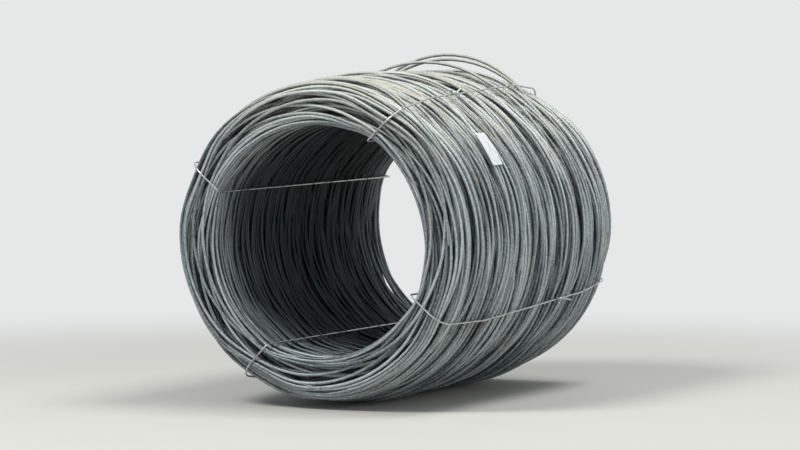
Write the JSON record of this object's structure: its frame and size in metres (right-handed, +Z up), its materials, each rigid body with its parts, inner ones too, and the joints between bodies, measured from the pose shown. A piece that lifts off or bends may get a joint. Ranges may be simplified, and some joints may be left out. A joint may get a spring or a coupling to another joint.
{
  "type": "wire rod coil",
  "caption": "Compacted coil of hot-rolled steel wire rod, lying on its side and held by twisted tie wires, with a blank tag.",
  "frame": {"origin": "on the floor, under the middle of the coil", "axes": "+Y along the eye of the coil, from the front end to the back end; +Z up; +X to the right seen from the front end"},
  "size_m": [1.25, 1.4635, 1.3026],
  "materials": {
    "rod": "matte",
    "tie_wire": "satin",
    "tag": "matte"
  },
  "bodies": {
    "root": {"rod_coil": "rod", "tie_wire_right": "tie_wire", "tie_wire_top": "tie_wire", "tie_wire_left": "tie_wire", "tie_wire_bottom": "tie_wire", "tag": "tag", "tag_hook": "tie_wire"}
  },
  "joints": []
}
